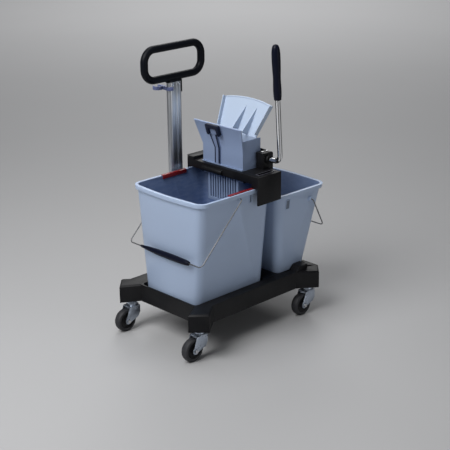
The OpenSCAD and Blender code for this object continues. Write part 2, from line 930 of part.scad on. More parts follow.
// Black bridge that sits on the large bucket's rim and carries the press
module press_bridge() {
    opening_x0 = front_x - seat_gap;
    opening_x1 = box_back + press_t + seat_gap;
    opening_half = funnel_half + seat_gap;
    shell = 5;
    lip_r = 9;
    arch = 14;
    rest_half = wall_half - bucket_t - 5;
    far_cut = bridge_half - 35;
    step_h = 10;
    guard_t = 5;
    slot_y = bridge_half - 25;
    color(black_moulding)
        difference() {
            union() {
                translate([bridge_x, -bridge_half, bridge_z])
                    cube([bridge_w, 2 * bridge_half, bridge_h]);
                for (s = [-1, 1])
                    translate([bridge_x, s > 0 ? bridge_half - skirt_t : -bridge_half, big_rim_z - skirt_d])
                        cube([bridge_w, skirt_t, skirt_d + bridge_h]);
                // Shelf for the lever housing and the far bearing behind the basket
                translate([bridge_x, -block_y0 - near_block_len, bridge_top - 2 * shell])
                    cube([shaft_x + block_w / 2 - bridge_x,
                          2 * block_y0 + near_block_len + far_block_len, 2 * shell]);
                // Wall behind the cams
                translate([shaft_x + block_w / 2 - guard_t, seat_gap - block_y0, bridge_top - shell])
                    cube([guard_t, 2 * block_y0 - 2 * seat_gap, block_h + shell]);
                // Step on the far arm
                translate([bridge_x, far_cut - 27, bridge_top - shell])
                    cube([bridge_w * 0.6, 27, step_h + shell]);
                // Rounded lip along the front edge
                bar_y(bridge_x, bridge_z + arch + lip_r, -funnel_half / 5, funnel_half * 0.8, lip_r);
            }
            // Arched front between the rims
            translate([bridge_x - lip_r - over, -rest_half, bridge_z - over])
                cube([front_x - bridge_x + lip_r - seat_gap + over, 2 * rest_half, arch + over]);
            // Front corner of the far arm
            translate([0, 0, big_rim_z - skirt_d - over])
                linear_extrude(skirt_d + bridge_h + step_h + 2 * over)
                    polygon([[bridge_x - over, far_cut], [bridge_x + 30, bridge_half + over],
                             [bridge_x - over, bridge_half + over]]);
            // Hollow underside of both arms
            for (s = [-1, 1])
                translate([bridge_x + shell, s > 0 ? opening_half + shell : -bridge_half + skirt_t + shell,
                           bridge_z - over])
                    cube([bridge_w - 2 * shell, bridge_half - skirt_t - opening_half - 2 * shell,
                          bridge_h - shell + over]);
            translate([opening_x0, -opening_half, bridge_z - over])
                cube([opening_x1 - opening_x0, 2 * opening_half, bridge_h + 2 * over]);
            // Long slot in the top of the near arm
            translate([bridge_x + 22, -slot_y - 4, bridge_top - 3])
                cube([bridge_w - 38, 8, 3 + over]);
        }
}

// Slots from x0 to x1 in a row across the basket
module slot_row(x0, x1, z0, z1) {
    n = floor((trough_half - press_t - slot_w) / slot_pitch);
    for (k = [-n:n])
        translate([x0, k * slot_pitch - slot_w / 2, z0])
            cube([x1 - x0, slot_w, z1 - z0]);
}

// Blind groove for a jaw pin in the inner face of each side wall
module guide_slot(z) {
    r = pin_d / 2 + turn_gap;
    half = funnel_half - groove_skin;
    x0 = pin_x - jaw_travel - 1;
    for (s = [0, 1])
        mirror([0, s, 0]) {
            for (x = [x0, pin_x])
                bar_y(x, z, jaw_half, half, r);
            translate([x0, jaw_half, z - r])
                cube([pin_x - x0, half - jaw_half, 2 * r]);
        }
}

// Basket in the bridge, with a lip on top and a narrower slotted trough that hangs into the bucket
module press_basket() {
    lip = 5;
    width = 2 * funnel_half;
    depth = box_back + press_t - front_x;
    trough = trough_back - front_x;
    top = bridge_top + flange_h;
    color(bucket_grey)
        difference() {
            union() {
                translate([front_x, -trough_half, basket_z])
                    cube([trough, 2 * trough_half, top - basket_z]);
                translate([front_x, -funnel_half, ledge_z])
                    cube([depth, width, top - ledge_z]);
                translate([front_x - lip, -funnel_half, bridge_top])
                    cube([depth + lip, width, flange_h]);
            }
            translate([front_x + press_t, -trough_half + press_t, basket_z + press_t])
                cube([trough - 2 * press_t, 2 * trough_half - 2 * press_t, top - basket_z]);
            translate([front_x + press_t, -funnel_half + press_t, ledge_z + press_t])
                cube([depth - 2 * press_t, width - 2 * press_t, top - ledge_z]);
            slot_row(front_x - over, front_x + press_t + over, basket_z + 10, bridge_z + 6);
            slot_row(trough_back - press_t - over, trough_back + over, basket_z + 10, bridge_z - 12);
            slot_row(front_x + 10, trough_back - 10, basket_z - over, basket_z + press_t + over);
            guide_slot(low_pin_z);
        }
}

// Point at distance d up the leaning front flap, standing out from its front face
function on_flap(d, out) = [front_x - d * sin(front_lean) - out * cos(front_lean),
                            front_kink + d * cos(front_lean) - out * sin(front_lean)];

// Side profile of the funnel: upright behind, following the leaning front flap
module funnel_side() {
    top = bridge_top + side_h;
    mid = front_x + press_t / 2;
    polygon([[mid, funnel_z], [box_back + press_t, funnel_z], [box_back + press_t, shaft_z + 10],
             [jaw_back + 12, top], [mid - (top - front_kink) * tan(front_lean), top], [mid, front_kink]]);
}

// A bent strip on the funnel's front, as far up the flap as len, between two distances from its face
module front_strip(out0, out1, len) {
    fold = tan(front_lean / 2);
    polygon([[front_x - out0, funnel_z], [front_x - out0, front_kink - out0 * fold], on_flap(len, out0),
             on_flap(len, out1), [front_x - out1, front_kink - out1 * fold], [front_x - out1, funnel_z]]);
}

// A strip's outline seen from the front, swept along the trolley
module front_outline(points) {
    translate([front_x - front_len, 0, 0])
        rotate([90, 0, 90])
            linear_extrude(2 * front_len)
                polygon(points);
}

// Funnel: front wall with its widening flap, and two side walls with guide slots
module press_funnel() {
    bead = 2.5;
    flap_top = on_flap(front_len, 0)[1];
    bead_at = on_flap(front_len - bead, -press_t / 2);
    color(bucket_grey)
        difference() {
            union() {
                intersection() {
                    plate_y(-flap_half, flap_half)
                        front_strip(-press_t, 0, front_len);
                    front_outline([[-funnel_half, funnel_z], [funnel_half, funnel_z],
                                   [funnel_half, front_kink], [flap_half, flap_top],
                                   [flap_half, flap_top + 10], [-flap_half, flap_top + 10],
                                   [-flap_half, flap_top], [-funnel_half, front_kink]]);
                }
                for (y = [-funnel_half, funnel_half - press_t])
                    plate_y(y, y + press_t)
                        funnel_side();
                bar_y(bead_at[0], bead_at[1], -flap_half, flap_half, bead);
            }
            guide_slot(high_pin_z);
            // Open notch for the lever shaft
            for (y = [-funnel_half, funnel_half - press_t])
                translate([shaft_x - shaft_d / 2 - 2, y - over, shaft_z - shaft_d / 2 - 2])
                    cube([block_w, press_t + 2 * over, shaft_d + 4]);
        }
}

// Clip with two lugs on the front flap and a strap down the front wall
module funnel_clip() {
    clip_at = 14;
    strap_y = 8;
    foot_w = 22;
    strap_w = 32;
    strap_t = 5;
    lug_w = 12;
    head_w = 58;
    head_len = 34;
    head_z = front_len - head_len;
    lap = 2;
    strap_top = on_flap(head_z + lap, 0)[1];
    color(clip_blue) {
        intersection() {
            plate_y(clip_at - head_w / 2, clip_at + head_w / 2)
                front_strip(seat_gap, strap_t, head_z + lap);
            front_outline([[strap_y, funnel_z], [strap_y + foot_w, funnel_z],
                           [strap_y + foot_w, front_kink], [strap_y + strap_w, strap_top],
                           [strap_y, strap_top]]);
        }
        plate_y(clip_at - head_w / 2 + lug_w - lap, clip_at + head_w / 2 - lug_w + lap)
            polygon([on_flap(head_z, seat_gap), on_flap(front_len - 6, seat_gap),
                     on_flap(front_len - 6, strap_t + 3), on_flap(head_z, strap_t + 3)]);
        for (y = [clip_at - head_w / 2, clip_at + head_w / 2 - lug_w])
            plate_y(y, y + lug_w)
                polygon([on_flap(head_z - lap, seat_gap), on_flap(front_len - 10, seat_gap),
                         on_flap(front_len - 10, strap_t + 8), on_flap(head_z - lap, strap_t + 8)]);
    }
}

// Jaw: an upright press plate, a wide flap that leans back with a curved top, two fin ribs and pin bosses
module press_jaw() {
    fins = [3, -45];
    fin_t = 5;
    fin_deep = 28;
    top_r = (flap_half * flap_half + jaw_crown * jaw_crown) / (2 * jaw_crown);
    fin_top = jaw_len - 12;
    boss_len = 14;
    edge = 12;
    flap_foot = 6;
    color(bucket_grey)
        difference() {
            union() {
                translate([jaw_x, -jaw_half, jaw_foot])
                    cube([press_t, 2 * jaw_half, kink_z - jaw_foot]);
                // Upright ribs that stiffen the press plate's back, clear of the cams
                for (y = [-jaw_half + 18, 0, jaw_half - 18])
                    translate([jaw_back - over, y - press_t / 2, jaw_foot])
                        cube([6 + over, press_t, bridge_top + 10 - jaw_foot]);
                translate([jaw_x, 0, kink_z])
                    rotate([0, jaw_lean, 0]) {
                        rotate([90, 0, 90])
                            linear_extrude(press_t)
                                intersection() {
                                    polygon([[-jaw_half, -1], [jaw_half, -1], [jaw_half, flap_foot],
                                             [flap_half, jaw_len], [flap_half, jaw_len + jaw_crown],
                                             [-flap_half, jaw_len + jaw_crown], [-flap_half, jaw_len],
                                             [-jaw_half, flap_foot]]);
                                    translate([0, jaw_len + jaw_crown - top_r])
                                        circle(r = top_r, $fn = 256);
                                }
                        // Side edges turned forward
                        for (s = [-1, 1])
                            translate([-edge, 0, 0])
                                rotate([90, 0, 90])
                                    linear_extrude(edge + press_t)
                                        polygon([[s * jaw_half, flap_foot], [s * flap_half, jaw_len],
                                                 [s * (flap_half - press_t), jaw_len],
                                                 [s * (jaw_half - press_t), flap_foot]]);
                    }
                // Fin ribs on the flap's inner face
                for (y = fins)
                    plate_y(y - fin_t / 2, y + fin_t / 2)
                        translate([jaw_x, kink_z])
                            polygon([[fin_top * sin(jaw_lean), fin_top * cos(jaw_lean)],
                                     [2 - fin_deep, 14], [2, 0],
                                     [2 + fin_top * sin(jaw_lean) / 2, fin_top * cos(jaw_lean) / 2]]);
                for (z = [low_pin_z, high_pin_z])
                    for (s = [-1, 1])
                        bar_y(pin_x, z, s > 0 ? jaw_half - boss_len : -jaw_half,
                              s > 0 ? jaw_half : boss_len - jaw_half, pin_boss);
            }
            for (z = [low_pin_z, high_pin_z])
                for (s = [-1, 1])
                    bar_y(pin_x, z, s > 0 ? jaw_half - boss_len + 3 : -jaw_half - over,
                          s > 0 ? jaw_half + over : boss_len - 3 - jaw_half, pin_d / 2 + turn_gap);
        }
}

// Four pins on the jaw that run in the side walls' slots
module jaw_guide_pins() {
    inner = jaw_half - 10;
    outer = funnel_half - groove_skin - 0.4;
    color(steel)
        for (z = [low_pin_z, high_pin_z])
            for (s = [-1, 1])
                bar_y(pin_x, z, s > 0 ? inner : -outer, s > 0 ? outer : -inner, pin_d / 2);
}

// Bearing block for the lever shaft, from y0 to y1, with a rounded back edge
module bearing_block(y0, y1) {
    r = 8;
    x0 = shaft_x - block_w / 2;
    difference() {
        plate_y(y0, y1) {
            translate([x0, bridge_top])
                square([block_w - r, block_h]);
            translate([x0, bridge_top])
                square([block_w, block_h - r]);
            translate([x0 + block_w - r, bridge_top + block_h - r])
                circle(r = r);
        }
        bar_y(shaft_x, shaft_z, y0 - over, y1 + over, bush_r + seat_gap);
    }
}

module lever_housing() {
    color(black_moulding)
        bearing_block(-block_y0 - near_block_len, -block_y0);
}

module far_bearing() {
    color(black_moulding)
        bearing_block(block_y0, block_y0 + far_block_len);
}

// Bushes of the lever shaft in both blocks
module shaft_bushes() {
    color([0.75, 0.72, 0.62])
        for (y = [[-block_y0 - near_block_len, -block_y0], [block_y0, block_y0 + far_block_len]])
            difference() {
                bar_y(shaft_x, shaft_z, y[0], y[1], bush_r);
                bar_y(shaft_x, shaft_z, y[0] - over, y[1] + over, shaft_d / 2 + turn_gap);
            }
}

// Screws that hold both blocks, in the bridge's shelf
module housing_screws() {
    color(steel)
        for (y = [-block_y0 - near_block_len / 2, block_y0 + far_block_len / 2])
            for (s = [-1, 1])
                translate([shaft_x + s * (block_w / 2 - 13), y, bridge_top + block_h])
                    cylinder(r = 4, h = 2.5);
}

// Pieces of the lever are drawn with the lever upright, then leaned about the shaft
module on_shaft() {
    translate([shaft_x, 0, shaft_z])
        rotate([0, -lever_lean, 0])
            children();
}

module lever_shaft() {
    color(steel)
        on_shaft()
            bar_y(0, 0, -stub_y - stub_len, block_y0 + far_block_len + 2, shaft_d / 2);
}

// Cams whose flat follower moves in step with the lever: each flank is an involute of the circle cam_base
function cam_point(a) = let(h = cam_near + jaw_travel * a / lever_swing)
    [-h * cos(a) + cam_base * sin(a), h * sin(a) + cam_base * cos(a)];

module press_cams() {
    steps = 16;
    flank = [for (k = [0:steps]) cam_point(k * lever_swing / steps)];
    color(zinc)
        translate([shaft_x, 0, shaft_z])
            for (y = [-cam_y, cam_y])
                difference() {
                    plate_y(y - cam_w / 2, y + cam_w / 2) {
                        polygon(concat([[-cam_near, 0]], flank, [[cam_near, 0]]));
                        circle(r = cam_near);
                    }
                    bar_y(0, 0, y - cam_w, y + cam_w, shaft_d / 2 + seat_gap);
                }
}

// Torsion spring around the shaft beside one cam: one swept tube with a straight leg at each end
spring_turn = [for (k = [0:spring_turns * spring_rings]) 360 * k / spring_rings];
spring_angle = concat([0], spring_turn, [0]);
spring_path = concat(
    [[spring_r, spring_y, -spring_leg]],
    [for (a = spring_turn) [spring_r * cos(a), spring_y + spring_pitch * a / 360, spring_r * sin(a)]],
    [[spring_r, spring_y + spring_pitch * spring_turns, spring_leg]]);
spring_gap = min([for (k = [1:len(spring_path) - spring_rings - 2])
    norm(spring_path[k + spring_rings] - spring_path[k])]) - spring_wire;
echo(str("Least gap between the spring's turns: ", spring_gap, " mm"));

// One ring of the tube around the path's point k
function spring_ring(k) = let(a = spring_angle[k])
    [for (j = [0:spring_sides - 1]) let(b = 360 * j / spring_sides)
        spring_path[k] + spring_wire / 2 * [cos(b) * cos(a), sin(b), cos(b) * sin(a)]];

module return_spring() {
    rings = len(spring_path);
    last = (rings - 1) * spring_sides;
    points = [for (k = [0:rings - 1]) each spring_ring(k)];
    sides = [for (k = [0:rings - 2]) for (j = [0:spring_sides - 1])
        let(a = k * spring_sides + j, b = k * spring_sides + (j + 1) % spring_sides)
            each [[a, a + spring_sides, b], [b, a + spring_sides, b + spring_sides]]];
    ends = [for (j = [1:spring_sides - 2]) each [[0, j, j + 1], [last, last + j + 1, last + j]]];
    color(steel)
        translate([shaft_x, 0, shaft_z])
            polyhedron(points, concat(sides, ends));
}

// Lever: a stub over the shaft's end, a bend and a straight rod
module lever_rod() {
    bend = 24;
    r = rod_d / 2;
    color([0.85, 0.86, 0.88])
        on_shaft()
            difference() {
                union() {
                    bar_y(0, 0, -lever_y + bend, -stub_y, r);
                    translate([0, -lever_y + bend, bend])
                        rotate([180, 90, 0])
                            rotate_extrude(angle = 90)
                                translate([bend, 0])
                                    circle(r = r);
                    translate([0, -lever_y, bend])
                        cylinder(r = r, h = lever_len - bend - 5);
                }
                bar_y(0, 0, -stub_y - stub_len - seat_gap, -stub_y + over, shaft_d / 2 + seat_gap);
            }
}

// Lever grip: a turned handle with a waist and a rounded end
module lever_grip() {
    r = lever_grip_d / 2;
    n = 24;
    waist = 3.2;
    body = [for (k = [0:n]) let(t = k / n)
        [r - waist * (1 - sin(180 * t)) * (t < 0.5 ? 1 : 0.35), t * (lever_grip_len - r / 2)]];
    dome = [for (a = [15:15:90]) [body[n][0] * cos(a), lever_grip_len - r / 2 + r / 2 * sin(a)]];
    color(black_moulding)
        on_shaft()
            translate([0, -lever_y, lever_len - lever_grip_len])
                rotate_extrude()
                    difference() {
                        polygon(concat([[0, 0]], body, dome));
                        translate([-over, -over])
                            square([rod_d / 2 + seat_gap + over, lever_grip_len - 5 + seat_gap + over]);
                    }
}

to_origin() {
    base_tray();
    caster_pins();
    for (i = [1:4]) {
        caster_fork(i);
        caster_axle(i);
        wheel_hub(i);
        wheel_tyre(i);
    }
    handle_post();
    handle_neck();
    handle_loop();
    pole_clip();
    neck_screws();
    large_bucket();
    large_bail();
    large_bail_grip();
    rim_inserts();
    small_bucket();
    small_bail();
    small_bail_grip();
    press_bridge();
    press_basket();
    press_funnel();
    funnel_clip();
    press_jaw();
    jaw_guide_pins();
    lever_housing();
    far_bearing();
    shaft_bushes();
    housing_screws();
    lever_shaft();
    press_cams();
    return_spring();
    lever_rod();
    lever_grip();
}
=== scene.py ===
"""Looks of a double mop bucket trolley: finishes, softened edges, moulded details and a plain stage."""

import math

import bmesh
import bpy
from bpy.props import FloatProperty, FloatVectorProperty, IntProperty, PointerProperty
from mathutils import Matrix, Vector


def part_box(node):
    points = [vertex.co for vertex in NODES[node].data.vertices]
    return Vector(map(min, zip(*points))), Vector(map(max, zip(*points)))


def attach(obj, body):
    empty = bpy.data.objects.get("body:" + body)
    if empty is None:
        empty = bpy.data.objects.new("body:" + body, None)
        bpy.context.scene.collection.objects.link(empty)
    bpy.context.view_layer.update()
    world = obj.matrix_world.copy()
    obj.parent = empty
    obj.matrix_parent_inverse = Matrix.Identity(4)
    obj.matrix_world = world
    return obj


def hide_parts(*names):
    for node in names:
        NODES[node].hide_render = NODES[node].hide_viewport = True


bl_info = {
    "name": "Mop Bucket Trolley",
    "version": (1, 0, 0),
    "blender": (4, 5, 0),
    "location": "View3D > Sidebar > Trolley",
    "description": "Dresses a double mop bucket trolley with finishes and moulded details",
    "category": "Object",
}

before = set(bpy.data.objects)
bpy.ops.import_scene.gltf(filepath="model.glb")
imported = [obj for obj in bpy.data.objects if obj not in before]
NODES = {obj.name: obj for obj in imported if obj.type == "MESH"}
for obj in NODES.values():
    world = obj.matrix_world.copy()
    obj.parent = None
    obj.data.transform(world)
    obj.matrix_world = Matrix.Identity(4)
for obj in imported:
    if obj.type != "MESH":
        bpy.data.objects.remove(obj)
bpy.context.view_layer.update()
MM = 0.001
CORNERS = (1, 2, 3, 4)
JOIN_DISTANCE = 3e-6
MERGE_DISTANCE = 1e-6
FLAT_ANGLE = math.radians(0.6)
SHARP_ANGLE = math.radians(32)
CREASE_ANGLE = math.radians(35)
# Least cosine between two directions that count as the same
ALIGNED = 0.95
# Where the lever turns, in millimetres, and how far it leans from upright
LEVER_FOOT = (94, -181, 571)
LEVER_LEAN = math.radians(-3.7)
# Tints of the patches that dust leaves on plastic and rubber
PLASTIC_DUST = (0.30, 0.29, 0.28)
RUBBER_DUST = (0.22, 0.215, 0.21)
BUSH_COLOUR = (0.62, 0.60, 0.53)
BUCKET_ROUGHNESS = 0.38
# Shares of red, green and blue that a bucket keeps on the faces that look inward, where shade is painted
DAMP_SHARES = (0.13, 0.19, 0.33)
# Fine grain of moulded plastic: features per metre, depth in metres and strength of the relief
GRAIN = 900
GRAIN_DEPTH = 0.00006
GRAIN_STRENGTH = 0.35


def colour_prop(name, description, default):
    """A colour that a user may change."""
    return FloatVectorProperty(name=name, description=description, subtype="COLOR", size=3, min=0, max=1,
                               default=default)


def length_prop(name, description, millimetres):
    """A length that a user may change, stored in metres."""
    return FloatProperty(name=name, description=description, subtype="DISTANCE", unit="LENGTH", min=0,
                         default=millimetres * MM)


class TrolleyColours(bpy.types.PropertyGroup):
    """Colours of the finishes."""

    bucket: colour_prop("Bucket", "Moulded buckets", (0.41, 0.51, 0.69))
    press: colour_prop("Press", "Jaw of the press", (0.43, 0.515, 0.65))
    funnel: colour_prop("Funnel", "Funnel of the press", (0.272, 0.350, 0.525))
    # The basket's colour is darkened as painted shade, for the shadow it sits in under the press
    basket: colour_prop("Basket", "Slotted basket, damp in use", (0.20, 0.265, 0.41))
    chassis: colour_prop("Chassis", "Base, bridge and bearing blocks", (0.0045, 0.0046, 0.0058))
    handle: colour_prop("Handle", "Loop handle and its neck", (0.0035, 0.0042, 0.0070))
    grip: colour_prop("Grip", "Lever grip and bail grips", (0.0030, 0.0042, 0.0130))
    clip: colour_prop("Funnel clip", "Arch and rails of the clip on the funnel", (0.006, 0.010, 0.028))
    strap: colour_prop("Clip strap", "Strap of the clip on the funnel", (0.19, 0.245, 0.39))
    pole_clip: colour_prop("Pole clip", "Clip on the post", (0.115, 0.140, 0.285))
    insert: colour_prop("Insert", "Colour code inserts on the rim", (0.21, 0.008, 0.011))
    tyre: colour_prop("Tyre", "Wheel treads", (0.021, 0.0215, 0.026))
    zinc: colour_prop("Zinc", "Plated forks", (0.42, 0.47, 0.55))
    aluminium: colour_prop("Aluminium", "Extruded post", (0.60, 0.62, 0.65))
    chrome: colour_prop("Chrome", "Lever rod", (0.96, 0.97, 0.98))
    steel: colour_prop("Steel", "Wire, shaft and screws", (0.55, 0.56, 0.58))
    floor: colour_prop("Floor", "Floor and backdrop", (0.43, 0.43, 0.435))


class TrolleySizes(bpy.types.PropertyGroup):
    """Sizes of the softened edges and of the stage."""

    moulded_edge: length_prop("Moulded edge", "Rounding of moulded edges", 1.2)
    metal_edge: length_prop("Metal edge", "Rounding of sheet metal edges", 0.4)
    floor_half: length_prop("Floor", "Half size of the floor", 12000)
    edge_segments: IntProperty(name="Edge segments", description="Faces across a rounded edge", min=1, max=4,
                               default=2)


class Signal:
    """A socket of a node tree that takes part in arithmetic."""

    def __init__(self, finish, socket):
        self.finish = finish
        self.socket = socket

    def _math(self, operation, first, second):
        return self.finish.node("ShaderNodeMath", {"operation": operation}, {0: first, 1: second})

    def __add__(self, other):
        return self._math("ADD", self, other)

    def __radd__(self, other):
        return self._math("ADD", other, self)

    def __sub__(self, other):
        return self._math("SUBTRACT", self, other)

    def __rsub__(self, other):
        return self._math("SUBTRACT", other, self)

    def __mul__(self, other):
        return self._math("MULTIPLY", self, other)

    def clamped(self):
        """The signal kept between 0 and 1."""
        return self.finish.node("ShaderNodeClamp", {}, {"Value": self})


class Finish:
    """A material whose pattern is built from nodes on Object coordinates."""

    def __init__(self, name):
        self.material = bpy.data.materials.new(name)
        self.material.use_nodes = True
        self.tree = self.material.node_tree
        self.tree.nodes.clear()
        output = self.tree.nodes.new("ShaderNodeOutputMaterial")
        self.shader = self.tree.nodes.new("ShaderNodeBsdfPrincipled")
        self.tree.links.new(self.shader.outputs[0], output.inputs["Surface"])

    def node(self, kind, settings, values, out=0):
        """Adds a node with its settings and the values or links of its sockets, and returns an output."""
        made = self.tree.nodes.new(kind)
        for key, value in settings.items():
            setattr(made, key, value)
        for key, value in values.items():
            self.feed(made.inputs[key], value)
        return Signal(self, made.outputs[out])

    def feed(self, socket, value):
        """Sets a socket to a value or links a signal to it."""
        if isinstance(value, Signal):
            self.tree.links.new(value.socket, socket)
        elif socket.type == "RGBA" and len(value) == 3:
            socket.default_value = (*value, 1)
        else:
            socket.default_value = value

    def shade(self, **values):
        """Feeds the shader's sockets, named with underscores for spaces."""
        for key, value in values.items():
            self.feed(self.shader.inputs[key.replace("_", " ").title().replace("Ior", "IOR")], value)

    def place(self, scale=(1, 1, 1)):
        """Object coordinates, stretched by a scale."""
        coordinates = self.node("ShaderNodeTexCoord", {}, {}, out=3)
        if scale == (1, 1, 1):
            return coordinates
        return self.node("ShaderNodeMapping", {}, {"Vector": coordinates, "Scale": scale})

    def noise(self, scale, detail, roughness=0.5, stretch=(1, 1, 1)):
        """Fractal noise with so many features per metre."""
        return self.node("ShaderNodeTexNoise", {}, {"Vector": self.place(stretch), "Scale": scale,
                                                    "Detail": detail, "Roughness": roughness})

    def blend(self, factor, first, second):
        """A colour between two colours."""
        return self.node("ShaderNodeMix", {"data_type": "RGBA"}, {0: factor, 6: first, 7: second}, out=2)

    def relief(self, height, strength, depth):
        """Bump from a height signal."""
        self.shade(normal=self.node("ShaderNodeBump", {}, {"Height": height, "Strength": strength,
                                                           "Distance": depth}))


def tinted(colour, factor):
    """A colour made lighter or darker."""
    return tuple(min(1.0, part * factor) for part in colour)


def uneven(clouds, grains):
    """How the roughness of moulded plastic varies with its clouds and its grain."""
    return (clouds - 0.5) * 0.12 + (grains - 0.5) * 0.1


def moulded(name, colour, roughness, clouding, grain=GRAIN, grain_depth=GRAIN_DEPTH, dust=0.0, gloss=0.45):
    """Moulded plastic: fine grain, faint flow clouds and dust that gathers in patches."""
    finish = Finish(name)
    clouds = finish.noise(5.0, 3.0)
    flow = finish.noise(2.2, 2.0, stretch=(1, 1, 3))
    shade = finish.blend(clouds * 0.6 + flow * 0.4, tinted(colour, 1 - clouding), tinted(colour, 1 + clouding))
    if dust:
        specks = finish.noise(260, 2.0)
        patches = ((finish.noise(9.0, 4.0, 0.65) - 0.45) * 3).clamped()
        shade = finish.blend(patches * specks * dust, shade, PLASTIC_DUST)
    grains = finish.noise(grain, 2.0, 0.6)
    finish.shade(base_color=shade, roughness=roughness + uneven(clouds, grains), specular_ior_level=gloss)
    finish.relief(grains, GRAIN_STRENGTH, grain_depth)


def bucket_plastic(name, colour, middle_x, damp=1.0):
    """Moulded bucket wall: clean outside; the faces that look inward carry painted shade, darker lower down, with a
    noisy upper edge.
    """
    finish = Finish(name)
    clouds = finish.noise(5.0, 3.0)
    grains = finish.noise(GRAIN, 2.0, 0.6)
    outside = finish.blend(clouds, tinted(colour, 0.97), tinted(colour, 1.03))
    x, y, z = (finish.node("ShaderNodeSeparateXYZ", {}, {"Vector": finish.place()}, out=i) for i in range(3))
    looks = finish.node("ShaderNodeTexCoord", {}, {}, out=1)
    nx, ny = (finish.node("ShaderNodeSeparateXYZ", {}, {"Vector": looks}, out=i) for i in range(2))
    # Painted shade: the faces that look inward are blended towards a dark blue, more so lower down, with a noisy edge
    inward = ((x - middle_x) * nx + y * ny) * -40
    tide = ((finish.noise(30, 3.0, 0.6, (1, 1, 3)) - 0.5) * 0.3 + (1.1 - z * 0.5)).clamped()
    film = inward.clamped() * tide * damp
    deep = tuple(part * share for part, share in zip(colour, DAMP_SHARES))
    finish.shade(base_color=finish.blend(film, outside, deep),
                 roughness=BUCKET_ROUGHNESS + uneven(clouds, grains) + film * 0.1)
    finish.relief(grains, GRAIN_STRENGTH, GRAIN_DEPTH)


def plated(name, colour, roughness, spangle=90):
    """Plated sheet: a faint crystal pattern in colour and gloss."""
    finish = Finish(name)
    cells = finish.node("ShaderNodeTexVoronoi", {"feature": "F1"}, {"Vector": finish.place(), "Scale": spangle},
                        out=1)
    tone = finish.node("ShaderNodeRGBToBW", {}, {"Color": cells})
    streaks = finish.noise(40, 3.0)
    finish.shade(base_color=finish.blend(tone, tinted(colour, 0.93), tinted(colour, 1.05)), metallic=1.0,
                 roughness=roughness + (tone - 0.5) * 0.08 + (streaks - 0.5) * 0.12)


def drawn_metal(name, colour, roughness, along, fineness=1500):
    """Drawn or extruded metal with fine lines that run along one axis."""
    finish = Finish(name)
    stretch = tuple(0.01 if axis == along else 1.0 for axis in range(3))
    lines = finish.noise(fineness, 2.0, 0.6, stretch)
    bands = finish.noise(90, 2.0, 0.5, stretch)
    finish.shade(base_color=finish.blend(bands, tinted(colour, 0.90), tinted(colour, 1.08)), metallic=1.0,
                 roughness=roughness + (lines - 0.5) * 0.16 + (bands - 0.5) * 0.08)
    finish.relief(lines, 0.2, 0.00005)


def polished(name, colour, roughness, foot, lean):
    """Chrome over drawn tube that leans from its foot: painted reflections, a dark line along its middle and dark
    flanks, and faint hazing.
    """
    half, reach = 11.3 * MM, 14 * MM
    finish = Finish(name)
    x, y, z = (finish.node("ShaderNodeSeparateXYZ", {}, {"Vector": finish.place()}, out=i) for i in range(3))
    across = ((x - foot.x) - (z - foot.z) * math.tan(lean) - (y - foot.y)) * (1 / half)
    aside = across * across
    # Painted reflection: dark bands across the rod stand in for the dark surroundings it would mirror
    flanks = ((aside - 0.42) * 4).clamped()
    line = (1 - aside * 14).clamped()
    off = (y - foot.y) * (1 / reach)
    dark = (flanks + line).clamped() * (1 - off * off).clamped()
    haze = finish.noise(14, 4.0, 0.6)
    finish.shade(base_color=finish.blend(dark, colour, tinted(colour, 0.05)), metallic=1.0,
                 roughness=roughness + ((haze - 0.45) * 2).clamped() * 0.10, specular_tint=(0.08, 0.09, 0.10))


def rubbery(name, colour, roughness, dust):
    """Solid rubber with floor dust worn into it."""
    finish = Finish(name)
    patches = ((finish.noise(30, 4.0, 0.7) - 0.4) * 2.4).clamped()
    fine = finish.noise(900, 2.0)
    shade = finish.blend(patches * fine * dust, colour, RUBBER_DUST)
    finish.shade(base_color=shade, roughness=roughness + (fine - 0.5) * 0.2, specular_ior_level=0.35)
    finish.relief(fine, 0.3, 0.0002)


